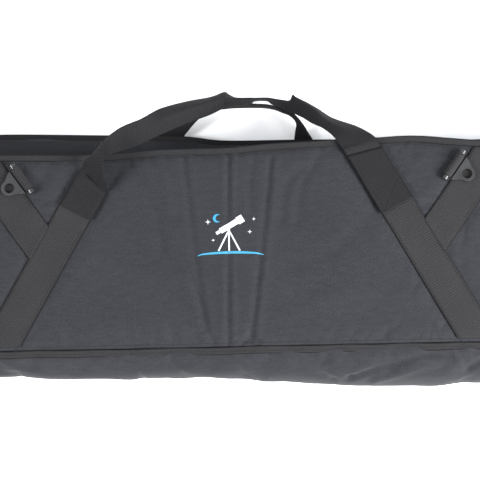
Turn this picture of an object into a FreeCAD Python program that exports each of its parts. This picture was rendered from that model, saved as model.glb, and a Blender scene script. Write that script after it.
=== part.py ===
"""Padded carry case for a telescope: a long soft bag with a zipped clamshell lid, webbing and handles.

The case lies on its back panel. +X runs along its length, +Y towards the zipped mouth and the handles,
+Z up out of the front panel. The origin is under the middle of the case, on the surface it lies on.
"""

import FreeCAD, Part
import math
import os

from FreeCAD import Placement, Rotation, Vector

SIZES = {
    # cross-section of the body, seam by seam
    "body_half_length": 589,
    "back_height": 2,
    "front_height": 100,
    "back_low_y": -124,
    "back_top_y": 152,
    "bulge_y": -218,
    "bulge_height": 46,
    "front_low_y": -162,
    "front_top_y": 114,
    "zip_y": 93,
    "zip_height": 50,
    "zip_band": 16,
    # layers of every wall
    "cover_thick": 0.8,
    "foam_thick": 5,
    "lining_thick": 0.6,
    "lid_gap": 0.3,
    "hinge_corner": 50,
    "lay_gap": 0.1,
    # folded tape on the seams
    "binding_width": 10.8,
    "binding_thick": 3,
    "binding_rise": 0.4,
    "back_tuck": 6,
    "back_rise": 0.2,
    "tuck_drop": 1,
    "hinge_side": 0.6,
    "hinge_drop": 0.3,
    "hinge_turn": 1.5,
    # zip
    "chain_half": 2.6,
    "coil_width": 2.7,
    "coil_thick": 2.2,
    "tape_width": 7.5,
    "tape_thick": 1,
    "slider_park": 440,
    "slider_apart": 40,
    "slider_half": 7,
    "plate_gap": 2,
    "plate_thick": 1.5,
    "plate_half": 5.5,
    "post_reach": 4.5,
    "pin_reach": 2.9,
    "pin_radius": 0.8,
    "pull_length": 26,
    "pull_thick": 1.6,
    "pull_half": 2.9,
    "pull_clear": 0.2,
    "pull_wall": 0.8,
    "post_side": 1.2,
    # webbing
    "webbing_half": 25,
    "webbing_thick": 2,
    "strap_lean": 28.4,
    "strap_top_x": 187,
    "handle_hinge_y": 100,
    "stitched_length": 74,
    "strap_start": 3,
    "back_strap_x": 103,
    "side_lean": 36.2,
    "side_top_x": 368,
    "handle_thick": 2.6,
    # shoulder-strap rings and the tabs that hold them
    "tab_half": 20,
    "tab_thick": 1.75,
    "tab_tail": 7.2,
    "bar_radius": 4,
    "bar_clear": 0.25,
    "ring_half": 25,
    "ring_thick": 4,
    "slot_half": 20.4,
    "slot_depth": 8.2,
    "eye_reach": 22,
    "eye_radius": 7,
    "nose_radius": 11.5,
    "ring_lift": 0.3,
    "ring_right_x": 306,
    "ring_right_y": 85,
    "ring_left_x": -299,
    "ring_left_y": 77,
    # printed emblem
    "print_x": -9,
    "print_y": -16,
    "print_thick": 0.3,
}

# Where each handle's webbing goes: the middle of the band, and the vector from there to its edge.
FRONT_HANDLE = [
    ((-187, 100.6, 105.5), (26, 0, 0)),
    ((-196, 99.5, 123.5), (15, -3.5, 17.5)),
    ((-190, 113, 127.5), (9.5, 5, 18.5)),
    ((-177, 118, 127), (6.5, 11, 16)),
    ((-158, 127.5, 122), (4, 12.5, 16)),
    ((-131, 139, 117), (3, 14, 13)),
    ((-102, 160, 96), (-2, 15, 4)),
    ((-66, 181.5, 67), (-2, 15.5, -5)),
    ((-36, 199, 50), (0, 13, -6)),
    ((-14, 206, 46), (0, 5, -11)),
    ((42, 207, 45), (0, 3, -12)),
    ((70, 206, 45), (0, 6, -10)),
    ((90, 200, 53), (4, 14, -6)),
    ((130, 160, 74), (10, 8, -19)),
    ((157, 139, 96), (18, 11, -8)),
    ((172, 120, 105), (22, 9, 0)),
    ((181, 100.6, 105.5), (26, 0, 0)),
]
BACK_HANDLE = [
    ((-103, 165.6, 4.5), (26, 0, 0)),
    ((-88, 175, 9), (19, -4, 5)),
    ((-60, 188, 15), (8, -7, 9)),
    ((-14, 200, 15), (0, -2, 11)),
    ((42, 202, 15), (0, -1, 11)),
    ((76, 195, 15), (-5, -5, 10)),
    ((94, 181, 11), (-17, -4, 6)),
    ((103, 165.6, 4.5), (-26, 0, 0)),
]

# The emblem's bars: length, width, middle in X and Y, and turn in degrees.
EMBLEM_BARS = [
    (56, 12, 4, 14, 28),
    (30, 3, -10, -18, 66),
    (30, 3, 12, -18, -66),
    (30, 3, 1, -19, 90),
]

doc = FreeCAD.newDocument("carry_case")
sheet = doc.addObject("Spreadsheet::Sheet", "sizes")
for row, (alias, value) in enumerate(SIZES.items(), start=1):
    sheet.set(f"A{row}", alias)
    sheet.set(f"B{row}", str(value))
    sheet.setAlias(f"B{row}", alias)
doc.recompute()

subparts = []


def size(alias):
    """A driving dimension, read from the sheet."""
    return float(sheet.get(alias))


def keep(item, label):
    """Names an object as one of the case's sub-parts."""
    item.Label = label
    subparts.append(item)
    return item


def feature(label, shape, place=None):
    """A sub-part whose shape comes from Part's own functions."""
    item = doc.addObject("Part::Feature", label)
    item.Shape = shape
    item.Placement = place or Placement()
    return keep(item, label)


def bind(item, bindings):
    """Ties an object's properties to expressions on the sheet."""
    for name, expression in bindings.items():
        item.setExpression(name, expression)
    return item


def block(name, low, high):
    """A box bound to the sheet. low and high are three expressions each."""
    item = doc.addObject("Part::Box", name)
    for side, low_end, high_end in zip(("Length", "Width", "Height"), low, high):
        item.setExpression(side, f"({high_end}) - ({low_end})")
    for axis, low_end in zip("xyz", low):
        item.setExpression(f".Placement.Base.{axis}", low_end)
    return item


def rod(name, radius, length, base, turn=None):
    """A cylinder bound to the sheet. base is three expressions."""
    item = doc.addObject("Part::Cylinder", name)
    if turn:
        item.Placement = Placement(Vector(), turn)
    bind(item, {"Radius": radius, "Height": length})
    for axis, value in zip("xyz", base):
        item.setExpression(f".Placement.Base.{axis}", value)
    return item


def fuse(name, pieces):
    """Several solids joined into one."""
    item = doc.addObject("Part::MultiFuse", name)
    item.Shapes = pieces
    item.Refine = True
    return item


def cut(name, base, tool):
    """One solid with another taken out of it."""
    item = doc.addObject("Part::Cut", name)
    item.Base = base
    item.Tool = tool
    return item


# ---------------------------------------------------------------- walls

LAYERS = {}
depth = 0
for layer_name in ("cover", "foam", "lining"):
    LAYERS[layer_name] = (depth, depth + size(f"{layer_name}_thick"))
    depth = LAYERS[layer_name][1]
WALL_THICK = depth

WALLS = {
    "front": ("front_low", "front_top"),
    "lid_strip": ("front_top", "zip_lid", "lid_edge"),
    "case_strip": ("case_edge", "zip_case", "back_top"),
    "back": ("back_top", "back_low"),
    "bottom_gusset": ("back_low", "bulge", "front_low"),
}


def seams():
    """The cross-section's corners in Y and Z, clockwise seen from the left end."""
    band = size("zip_band") / 2
    return {
        "back_low": (size("back_low_y"), size("back_height")),
        "bulge": (size("bulge_y"), size("bulge_height")),
        "front_low": (size("front_low_y"), size("front_height")),
        "front_top": (size("front_top_y"), size("front_height")),
        "zip_lid": (size("zip_y"), size("zip_height") + band),
        "zip_case": (size("zip_y"), size("zip_height") - band),
        "back_top": (size("back_top_y"), size("back_height")),
    }


def inset(inwards):
    """The cross-section moved inwards with mitred corners, plus the two edges beside the zip."""
    names = list(seams())
    corners = [Vector(0, *seams()[name]) for name in names]
    moved = {}
    for i, corner in enumerate(corners):
        before = (corner - corners[i - 1]).normalize()
        after = (corners[(i + 1) % len(corners)] - corner).normalize()
        normal_before = Vector(0, before.z, -before.y)
        normal_after = Vector(0, after.z, -after.y)
        mitre = (normal_before + normal_after).normalize()
        moved[names[i]] = corner + mitre * (inwards / mitre.dot(normal_after))
    for side, sign in (("lid", 1), ("case", -1)):
        edge_height = size("zip_height") + sign * size("chain_half")
        moved[f"{side}_edge"] = Vector(0, moved["zip_lid"].y, edge_height)
    return moved


def prism(points, low_x, high_x):
    """A solid with an outline in Y and Z, running along X."""
    outline = [Vector(low_x, point.y, point.z) for point in points]
    face = Part.Face(Part.makePolygon(outline + outline[:1]))
    return face.extrude(Vector(high_x - low_x, 0, 0))


def make_walls():
    """Front, back, gusset and zip strips: each a cover, a foam sheet and a lining."""
    reach = size("body_half_length")
    for wall, corners in WALLS.items():
        for layer, (outer, inner) in LAYERS.items():
            points = [inset(outer)[name] for name in corners]
            points += [inset(inner)[name] for name in reversed(corners)]
            if wall == "front":
                for i in (0, -1):
                    points[i] = points[i] + Vector(0, size("lid_gap"), 0)
            feature(f"{wall}_{layer}", prism(points, -reach, reach))


def make_ends():
    """The end panels: the lid's part above the zip, and the case's part below it and beside the hinge."""
    corner = inset(WALL_THICK + size("lay_gap"))
    split = size("front_low_y") + size("hinge_corner")
    roof = corner["front_top"].z
    lid_side = split + size("lid_gap")
    case_side = split - size("lid_gap")
    outlines = {
        "lid_end": [
            Vector(0, lid_side, corner["lid_edge"].z),
            Vector(0, lid_side, roof),
            corner["front_top"],
            corner["zip_lid"],
            corner["lid_edge"],
        ],
        "case_end": [
            corner["back_low"],
            corner["bulge"],
            corner["front_low"],
            Vector(0, case_side, roof),
            Vector(0, case_side, corner["case_edge"].z),
            corner["case_edge"],
            corner["zip_case"],
            corner["back_top"],
        ],
    }
    reach = size("body_half_length")
    for end, outline in outlines.items():
        for side, sign in (("left", -1), ("right", 1)):
            for layer, (outer, inner) in LAYERS.items():
                shape = prism(outline, sign * (reach - outer), sign * (reach - inner))
                feature(f"{end}_{side}_{layer}", shape)


# ---------------------------------------------------------------- bindings

INNER_X = "sizes.body_half_length + 2 * sizes.lay_gap"
OUTER_X = f"{INNER_X} + sizes.binding_width"


def binding_runs(name, low_y, seam_y, low_z):
    """The three runs of a folded tape: along the mouth and down both ends."""
    near_y = f"{seam_y} + sizes.lid_gap"
    far_y = f"{near_y} + sizes.binding_width"
    high_z = f"{low_z} + sizes.binding_thick"
    return [
        block(f"{name}_top", (f"-({OUTER_X})", near_y, low_z), (OUTER_X, far_y, high_z)),
        block(f"{name}_left", (f"-({OUTER_X})", low_y, low_z), (f"-({INNER_X})", far_y, high_z)),
        block(f"{name}_right", (INNER_X, low_y, low_z), (OUTER_X, far_y, high_z)),
    ]


def make_bindings():
    """The tape on the lid's seam, and the tape all round the back panel."""
    front = binding_runs(
        "front_run",
        "sizes.front_low_y + sizes.hinge_corner + sizes.lid_gap",
        "sizes.front_top_y",
        "sizes.front_height + sizes.binding_rise - sizes.binding_thick",
    )
    keep(fuse("front_binding", front), "front_binding")
    tuck_y = "sizes.back_low_y - sizes.back_tuck"
    low_y = f"{tuck_y} - sizes.binding_width"
    back = binding_runs("back_run", low_y, "sizes.back_top_y", "sizes.back_height + sizes.back_rise")
    tucked = block(
        "back_run_low",
        (f"-({OUTER_X})", low_y, "sizes.back_height - sizes.tuck_drop"),
        (OUTER_X, tuck_y, "sizes.back_height - sizes.tuck_drop + sizes.binding_thick"),
    )
    keep(fuse("back_binding", back + [tucked]), "back_binding")


def make_hinge_binding():
    """The bound seam that the lid folds about, with its short turns round the lower corners."""
    width = size("binding_width")
    thick = size("binding_thick")
    inner = size("body_half_length") + 2 * size("lay_gap")
    hinge = Vector(0, size("front_low_y"), size("front_height"))
    outline = [
        hinge + Vector(0, -size("hinge_side"), -size("hinge_drop")),
        hinge + Vector(0, -width, -0.9 * thick),
        hinge + Vector(0, -width, -1.9 * thick),
        hinge + Vector(0, -1.2 * thick, -thick),
    ]
    shape = prism(outline, -inner - width, inner + width)
    turn_low = Vector(0, hinge.y - size("hinge_turn"), hinge.z + size("binding_rise") - thick)
    turn_length = size("hinge_corner") - size("lid_gap") + size("hinge_turn")
    for low_x in (-inner - width, inner):
        corner = turn_low + Vector(low_x, 0, 0)
        shape = shape.fuse(Part.makeBox(width, turn_length, thick, corner))
    feature("hinge_binding", shape.removeSplitter())


# ---------------------------------------------------------------- zip


def make_zip_side(side, sign):
    """One tape with its coil, along the mouth and down both ends."""
    reach = size("body_half_length")
    end_y = size("front_low_y") + size("hinge_corner") + sign * size("lid_gap")
    coil_lift = 2 * size("lay_gap") + size("tape_thick")
    rows = {
        "tape": (size("lid_gap"), size("tape_width"), size("lay_gap"), size("tape_thick")),
        "coil": (size("lid_gap") / 2, size("coil_width"), coil_lift, size("coil_thick")),
    }
    for name, (offset, width, lift, thick) in rows.items():
        low_z = size("zip_height") + (offset if sign > 0 else -offset - width)
        inner_x = reach + lift
        inner_y = size("zip_y") + lift
        outer_corner = Vector(-inner_x - thick, end_y, low_z)
        outer_box = Part.makeBox(2 * (inner_x + thick), inner_y + thick - end_y, width, outer_corner)
        inner_corner = Vector(-inner_x, end_y - 1, low_z)
        inner_box = Part.makeBox(2 * inner_x, inner_y - end_y + 1, width, inner_corner)
        feature(f"zip_{name}_{side}", outer_box.cut(inner_box))


COIL_FACE = "sizes.zip_y + 2 * sizes.lay_gap + sizes.tape_thick + sizes.coil_thick"
PLATE_Y = f"{COIL_FACE} + sizes.plate_gap"
POST_Y = f"{PLATE_Y} + sizes.plate_thick"
PIN_Y = f"{POST_Y} + sizes.pin_reach"
LOW_Z = "sizes.zip_height - sizes.plate_half"
HIGH_Z = "sizes.zip_height + sizes.plate_half"


def make_slider(label, middle_x):
    """A zip slider: a plate over the coils, a rail under the lower coil, and two posts with a pin."""
    low_x = f"{middle_x} - sizes.slider_half"
    high_x = f"{middle_x} + sizes.slider_half"
    rail_y = f"{PLATE_Y} - sizes.plate_gap - sizes.plate_thick"
    post = "sizes.pin_radius + sizes.post_side"
    pieces = [
        block(f"{label}_plate", (low_x, PLATE_Y, LOW_Z), (high_x, POST_Y, HIGH_Z)),
        block(f"{label}_rail", (low_x, rail_y, LOW_Z), (high_x, PLATE_Y, f"{LOW_Z} + sizes.plate_thick")),
    ]
    for end, low_z in (("low", LOW_Z), ("high", f"{HIGH_Z} - sizes.plate_thick")):
        pieces.append(
            block(
                f"{label}_post_{end}",
                (f"{middle_x} - ({post})", POST_Y, low_z),
                (f"{middle_x} + {post}", f"{POST_Y} + sizes.post_reach", f"{low_z} + sizes.plate_thick"),
            )
        )
    pieces.append(
        rod(f"{label}_pin", "sizes.pin_radius", "2 * sizes.plate_half", (middle_x, PIN_Y, LOW_Z))
    )
    keep(fuse(label, pieces), label)


def make_pull(label, middle_x, sign):
    """The pull tab: an eye on the slider's pin and a flat tongue, pointing away from the other slider."""
    eye = "sizes.pin_radius + sizes.pull_clear"
    low_z = "sizes.zip_height - sizes.pull_half"
    tall = "2 * sizes.pull_half"
    root = f"{middle_x} + {sign} * ({eye})"
    tip = f"{middle_x} + {sign} * sizes.pull_length"
    low_x, high_x = (root, tip) if sign > 0 else (tip, root)
    side_y = f"{PIN_Y} - sizes.pull_thick / 2"
    tongue = block(
        f"{label}_tongue", (low_x, side_y, low_z), (high_x, f"{side_y} + sizes.pull_thick", f"{low_z} + {tall}")
    )
    barrel = rod(f"{label}_barrel", f"{eye} + sizes.pull_wall", tall, (middle_x, PIN_Y, low_z))
    bore = rod(f"{label}_bore", eye, f"{tall} + 2", (middle_x, PIN_Y, f"{low_z} - 1"))
    keep(cut(label, fuse(f"{label}_body", [tongue, barrel]), bore), label)


# ---------------------------------------------------------------- webbing


def strap_line(start_x, start_y, lean):
    """A leaning strap's half-width along X, and its middle's X at any Y. lean is positive towards +X as Y grows."""
    slope = math.tan(math.radians(lean))
    half = size("webbing_half") / math.cos(math.radians(lean))

    def middle(y):
        return start_x + slope * (y - start_y)

    return half, middle


def flat_piece(outline, low_z, thick):
    """A flat piece of webbing from its outline in X and Y."""
    points = [Vector(x, y, low_z) for x, y in outline]
    face = Part.Face(Part.makePolygon(points + points[:1]))
    return face.extrude(Vector(0, 0, thick))


def leaning_strap(label, side, top_x, start_y, low_y, high_y, low_z):
    """A strap that spreads outwards as it goes down, cut off along the seams."""
    half, middle = strap_line(side * top_x, start_y, -side * size("strap_lean"))
    outline = [
        (middle(low_y) - half, low_y),
        (middle(low_y) + half, low_y),
        (middle(high_y) + half, high_y),
        (middle(high_y) - half, high_y),
    ]
    feature(label, flat_piece(outline, low_z, size("webbing_thick")))


def make_side_strap(label, side):
    """The second strap, from the main strap's outer edge up to the mouth's seam."""
    main_half, main_middle = strap_line(size("strap_top_x"), size("handle_hinge_y"), -size("strap_lean"))
    half, middle = strap_line(size("side_top_x"), size("front_top_y"), size("side_lean"))
    high_y = size("front_top_y") - size("lid_gap")
    closing = (middle(1) - middle(0)) - (main_middle(1) - main_middle(0))
    outline = [(middle(high_y) - half, high_y), (middle(high_y) + half, high_y)]
    for offset in (half, -half):
        overlap = main_middle(0) + main_half + size("lid_gap") - middle(0) - offset
        low_y = overlap / closing
        outline.append((middle(low_y) + offset, low_y))
    mirrored = [(side * x, y) for x, y in outline]
    low_z = size("front_height") + size("lay_gap")
    feature(label, flat_piece(mirrored, low_z, size("webbing_thick")))


def band(points, thick):
    """A band of webbing through a list of middles and half-widths, as a closed solid of flat facets."""
    middles = [Vector(*middle) for middle, half in points]
    rings = []
    for i, (middle, half) in enumerate(points):
        ahead = middles[min(i + 1, len(middles) - 1)] - middles[max(i - 1, 0)]
        face_normal = ahead.cross(Vector(*half)).normalize() * (thick / 2)
        low = Vector(*middle) - Vector(*half)
        high = Vector(*middle) + Vector(*half)
        rings.append([low - face_normal, high - face_normal, high + face_normal, low + face_normal])
    facets = []
    for near, far in zip(rings, rings[1:]):
        for k in range(4):
            after = (k + 1) % 4
            facets.append([near[k], far[after], near[after]])
            facets.append([near[k], far[k], far[after]])
    for first, second, third, fourth in (rings[0], rings[-1][::-1]):
        facets.append([first, second, third])
        facets.append([first, third, fourth])
    faces = [Part.Face(Part.makePolygon(facet + facet[:1])) for facet in facets]
    shell = Part.Compound(faces)
    shell.sewShape()
    return Part.makeSolid(shell.Shells[0])


def make_straps():
    """The V of straps on the front and the back, the stitched ends of the front handle, and the side straps."""
    front_z = size("front_height") + size("lay_gap")
    front_low = size("front_low_y") + size("strap_start")
    hinge_y = size("handle_hinge_y")
    doubled_z = front_z + size("webbing_thick") + size("lay_gap")
    stitched_low = hinge_y - size("stitched_length")
    back_low = size("back_low_y") - size("back_tuck")
    back_top = size("back_top_y") + size("binding_width")
    for name, side in (("left", -1), ("right", 1)):
        top_x = size("strap_top_x")
        leaning_strap(f"front_strap_{name}", side, top_x, hinge_y, front_low, hinge_y - 5, front_z)
        leaning_strap(
            f"front_handle_end_{name}", side, top_x, hinge_y, stitched_low, hinge_y - 0.6, doubled_z
        )
        leaning_strap(f"back_strap_{name}", side, size("back_strap_x"), back_top, back_low, back_top, 0)
        make_side_strap(f"side_strap_{name}", side)


# ---------------------------------------------------------------- rings


def ring_place(side):
    """Where a ring's bar lies and how it is turned: its bar runs along the side strap's edge."""
    turn = (1 if side == "right" else -1) * (90 - size("side_lean"))
    height = (
        size("front_height")
        + size("lay_gap")
        + size("tab_thick")
        + size("bar_clear")
        + size("bar_radius")
    )
    base = Vector(size(f"ring_{side}_x"), size(f"ring_{side}_y"), height)
    return Placement(base, Rotation(Vector(0, 0, 1), turn))


def make_ring(side):
    """A moulded triangular ring: a round bar, two arms, and a plate with an eye for a snap hook."""
    name = f"ring_{side}"
    low_z = "sizes.ring_lift - sizes.bar_radius"
    plate = doc.addObject("Part::Wedge", f"{name}_plate")
    plate.Ymin, plate.Zmin, plate.Z2min = 0, 0, 0
    bind(
        plate,
        {
            "Xmin": "-sizes.ring_half",
            "Xmax": "sizes.ring_half",
            "Ymax": "sizes.eye_reach + 2",
            "X2min": "1 - sizes.nose_radius",
            "X2max": "sizes.nose_radius - 1",
            "Zmax": "sizes.ring_thick",
            "Z2max": "sizes.ring_thick",
            ".Placement.Base.z": low_z,
        },
    )
    nose = rod(f"{name}_nose", "sizes.nose_radius", "sizes.ring_thick", ("0", "sizes.eye_reach", low_z))
    slot = block(
        f"{name}_slot",
        ("-sizes.slot_half", "-1", f"{low_z} - 1"),
        ("sizes.slot_half", "sizes.slot_depth", "sizes.ring_thick"),
    )
    eye = rod(
        f"{name}_eye", "sizes.eye_radius", "sizes.ring_thick + 2", ("0", "sizes.eye_reach", f"{low_z} - 1")
    )
    along = Rotation(Vector(0, 1, 0), 90)
    bar = rod(f"{name}_bar", "sizes.bar_radius", "2 * sizes.ring_half", ("-sizes.ring_half", "0", "0"), along)
    frame = cut(f"{name}_frame", fuse(f"{name}_blank", [plate, nose]), fuse(f"{name}_holes", [slot, eye]))
    whole = fuse(name, [frame, bar])
    half_turn = Placement(Vector(), Rotation(Vector(0, 0, 1), 180))
    whole.Placement = ring_place(side).multiply(half_turn)
    keep(whole, name)


def make_tab(side):
    """The webbing tab that wraps a ring's bar, with its tail tucked against the side strap."""
    inner = size("bar_radius") + size("bar_clear")
    outer = inner + size("tab_thick")
    half = size("tab_half")
    start = Vector(-half, 0, 0)
    wrap = Part.makeCylinder(outer, 2 * half, start, Vector(1, 0, 0))
    tail = Part.makeBox(2 * half, size("tab_tail"), size("tab_thick"), Vector(-half, -size("tab_tail"), -outer))
    hollow = Part.makeCylinder(inner, 2 * half + 2, start - Vector(1, 0, 0), Vector(1, 0, 0))
    feature(f"ring_tab_{side}", wrap.fuse(tail).cut(hollow).removeSplitter(), ring_place(side))


# ---------------------------------------------------------------- emblem


def make_print():
    """A plain printed emblem: a telescope tube on a three-legged stand, as thin separate shapes."""
    thick = size("print_thick")
    base = Vector(size("print_x"), size("print_y"), size("front_height") + size("lay_gap") / 2)

    def bar(length, width, centre_x, centre_y, turn):
        piece = Part.makeBox(length, width, thick, Vector(-length / 2, -width / 2, 0))
        piece.Placement = Placement(base + Vector(centre_x, centre_y, 0), Rotation(Vector(0, 0, 1), turn))
        return piece

    feature("front_print", Part.makeCompound([bar(*values) for values in EMBLEM_BARS]))


# ---------------------------------------------------------------- the case

make_walls()
make_ends()
make_bindings()
make_hinge_binding()
make_zip_side("lid", 1)
make_zip_side("case", -1)
make_slider("zip_slider_left", "sizes.slider_park - sizes.slider_apart / 2")
make_slider("zip_slider_right", "sizes.slider_park + sizes.slider_apart / 2")
make_pull("zip_pull_left", "sizes.slider_park - sizes.slider_apart / 2", -1)
make_pull("zip_pull_right", "sizes.slider_park + sizes.slider_apart / 2", 1)
make_straps()
for ring_side in ("left", "right"):
    make_tab(ring_side)
    make_ring(ring_side)
feature("front_handle", band(FRONT_HANDLE, size("handle_thick")))
feature("back_handle", band(BACK_HANDLE, size("handle_thick")))
make_print()

doc.recompute()
for item in doc.Objects:
    if "Invalid" in item.State or "Error" in item.State:
        raise RuntimeError(f"{item.Label} did not rebuild: {item.State}")
for item in subparts:
    if item.Shape.isNull() or not item.Shape.isValid() or item.Shape.Volume <= 0:
        raise RuntimeError(f"{item.Label} has no valid shape")

os.makedirs("parts", exist_ok=True)
for item in subparts:
    item.Shape.exportStep(f"parts/{item.Label}.step")
print(f"{len(subparts)} sub-parts written")
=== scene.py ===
"""Looks of the telescope carry case: padded cloth walls, webbing, bindings, zip, rings, emblem and stitches.

Lengths are in millimetres until a mesh is made. +X runs along the case, +Y towards its mouth, +Z up.
"""

import math

import bmesh
import bpy
import numpy as np
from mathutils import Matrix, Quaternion, Vector
from mathutils.bvhtree import BVHTree


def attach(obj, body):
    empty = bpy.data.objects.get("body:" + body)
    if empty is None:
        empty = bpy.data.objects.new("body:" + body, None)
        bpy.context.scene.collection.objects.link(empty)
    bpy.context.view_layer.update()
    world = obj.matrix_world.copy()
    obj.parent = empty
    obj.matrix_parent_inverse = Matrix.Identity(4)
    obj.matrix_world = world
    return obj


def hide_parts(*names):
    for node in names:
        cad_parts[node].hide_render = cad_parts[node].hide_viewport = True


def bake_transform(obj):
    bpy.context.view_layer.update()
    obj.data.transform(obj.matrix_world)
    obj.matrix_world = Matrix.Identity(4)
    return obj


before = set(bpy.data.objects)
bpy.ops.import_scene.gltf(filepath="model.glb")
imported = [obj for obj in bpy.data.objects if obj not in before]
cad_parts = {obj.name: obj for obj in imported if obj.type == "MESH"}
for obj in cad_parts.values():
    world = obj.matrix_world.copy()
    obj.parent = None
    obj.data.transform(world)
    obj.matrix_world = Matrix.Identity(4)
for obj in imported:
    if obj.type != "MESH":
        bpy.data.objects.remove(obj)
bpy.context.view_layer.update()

MM = 0.001
END_X = 588.6  # where the end walls stand
SEAM_X = END_X + 0.6  # the bindings' inner edge at the ends
TAPE = 10.8  # the bindings' width
WEB = 50.0  # the main webbing's width
WALL = 6.2  # a padded wall's thickness
ROOF = 93.0  # the end walls' upper edge
TUCK = 4  # how far the big panels reach under the bindings
EMBLEM = (-9.0, -16.0)
LEAN = math.radians(28.4)  # of the main straps, from Y
SIDE_LEAN = math.radians(36.2)  # of the side straps
STRAP_TOP = (187.0, 100.0)  # a place on each middle line
SIDE_TOP = (368.0, 114.0)
STRAP_END_Y = {"left": 44, "right": 100}  # both are under the front handle
SIDES = (("left", -1), ("right", 1))
RINGS = {"right": ((306.0, 85.0), 53.8), "left": ((-299.0, 77.0), -53.8)}  # place and turn in degrees
STITCH = 2.5  # one stitch
STITCH_PITCH = 3.4  # from one to the next
SAMPLES = 24  # points between two stations of a curve
LOOK_FROM = 130.0  # above everything that straps, stitches and print lie on
WAVE_RADIANS = 20  # of Blender's wave texture, per unit of scale

# Lines along the case: X and the value there.
MOUTH_Y = [(-600, 112), (-440, 107), (-325, 104.5), (-191, 102.5), (-106, 107.5), (-11, 108.5), (45, 113),
           (131, 116.5), (197, 119), (255, 120.5), (346, 112), (470, 110), (600, 115)]
BACK_EDGE_Y = [(-600, 163), (-440, 170), (-347, 173), (-204, 169), (-79, 165), (-17, 157), (87, 156),
               (220, 154), (330, 151), (450, 152), (600, 157)]
BULGE_Y = [(-600, -206), (-470, -199), (-330, -195), (-112, -201), (14, -207), (95, -214), (203, -220),
           (281, -220), (334, -217), (470, -210), (600, -206)]
SEAM_DROP = [(-600, 0), (-340, 0.3), (-262, 2), (-215, 5), (-120, 6), (-60, 4.5), (-10, 1), (60, 0), (600, 0)]

# Creases: a line in X and Y, its half-width, and how far it rises (or sinks, below 0).
FRONT_CREASES = [
    ([(-10, 112), (-12, 40), (-13, -43), (-15, -160)], 3.2, -1.9),
    ([(-3, 112), (-5, 40), (-6, -43), (-8, -160)], 4, 1.3),
    ([(-17, 108), (-19, 40), (-21, -43), (-22, -150)], 5, 0.6),
    ([(-74, 102), (-60, -20), (-46, -139)], 5, -1.5),
    ([(-66, 104), (-52, -20), (-38, -139)], 6, 0.8),
    ([(-64, -67), (-50, -110), (-35, -158)], 4, -1.6),
    ([(49, 99), (42, 40), (35, -16), (17, -156)], 4, -1.8),
    ([(57, 99), (51, 40), (43, -16), (24, -150)], 5, 1.1),
    ([(26, 104), (20, 70), (19, 20)], 5, -0.9),
    ([(92, 84), (70, 60), (62, 10)], 6, -1.0),
    ([(120, 108), (92, 60), (84, 10)], 7, -1.0),
    ([(-150, 96), (-118, 40), (-104, -30)], 7, -1.1),
    ([(-110, 104), (-98, 70), (-96, 30)], 6, 0.8),
    ([(4, -159), (15, -151), (27, -159)], 3.5, -2.6),
    ([(15, -151), (15, -136)], 3, -1.2),
    ([(-200, -30), (-120, -60), (-40, -70)], 12, 0.7),
    ([(60, -120), (160, -90), (230, -100)], 14, 0.7),
    ([(60, -60), (150, -20), (200, 30)], 12, -0.7),
    ([(-260, 96), (-300, 40)], 9, -1.1),
    ([(260, 96), (330, 88), (340, 60)], 8, 0.8),
    ([(400, 90), (430, 0), (420, -110)], 9, -1.6),
    ([(-420, 90), (-450, -10), (-430, -120)], 9, -1.6),
    ([(-530, 60), (-500, -60)], 10, -1.6),
    ([(520, 60), (535, -80)], 10, -1.6),
]
GUSSET_FOLDS = [
    ([(150, -208), (215, -190), (253, -178), (288, -180)], 3.6, -6),
    ([(186, -214), (236, -199), (270, -190), (300, -190)], 5, 3),
    ([(312, -200), (338, -184), (356, -174)], 4, -5),
    ([(-330, -172), (-210, -176), (-70, -173)], 5, 2.6),
    ([(-330, -182), (-210, -187), (-70, -183)], 6, -2.8),
    ([(-300, -194), (-190, -197), (-110, -196)], 5, 1.6),
    ([(-160, -181), (-140, -196), (-136, -206)], 4, -2),
    ([(-96, -178), (-84, -192), (-80, -202)], 4, -1.8),
    ([(40, -178), (95, -196), (128, -210)], 4.5, -3),
    ([(60, -176), (120, -190), (160, -203)], 5, 2),
    ([(-30, -174), (0, -188), (8, -203)], 4, -3),
    ([(-16, -172), (18, -190), (34, -206)], 4, 1.6),
    ([(430, -205), (470, -180)], 6, -3),
    ([(-470, -192), (-430, -172)], 6, -3),
]

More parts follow.
